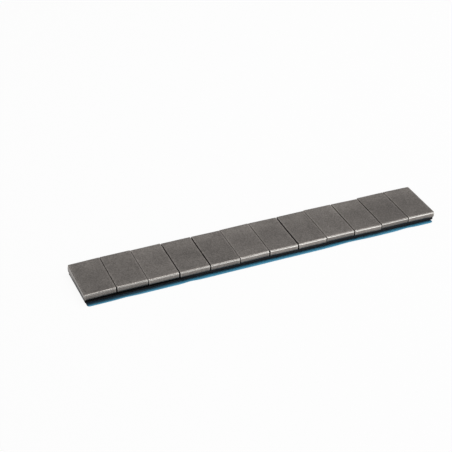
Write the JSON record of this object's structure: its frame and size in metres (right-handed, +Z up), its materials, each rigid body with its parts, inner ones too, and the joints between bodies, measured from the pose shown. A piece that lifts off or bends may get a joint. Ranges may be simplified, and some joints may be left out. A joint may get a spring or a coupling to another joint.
{
  "type": "wheel balance weight",
  "caption": "Flat stick-on strip of small steel wheel balance weights in a row on black foam tape, with a blue peel-off liner, to be stuck inside a wheel's rim.",
  "frame": {"origin": "under the middle of the row of weights, on the underside of the liner that the strip lies on", "axes": "+X along the strip, +Y across it away from the side where the liner sticks out, +Z up through the weights"},
  "size_m": [0.144, 0.024, 0.0041],
  "materials": {
    "coated_steel": "satin",
    "black_foam": "matte",
    "blue_film": "satin"
  },
  "bodies": {
    "root": {"weight_segment_01": "coated_steel", "weight_segment_02": "coated_steel", "weight_segment_03": "coated_steel", "weight_segment_04": "coated_steel", "weight_segment_05": "coated_steel", "weight_segment_06": "coated_steel", "weight_segment_07": "coated_steel", "weight_segment_08": "coated_steel", "weight_segment_09": "coated_steel", "weight_segment_10": "coated_steel", "weight_segment_11": "coated_steel", "weight_segment_12": "coated_steel", "foam_tape": "black_foam", "release_liner": "blue_film"}
  },
  "joints": []
}
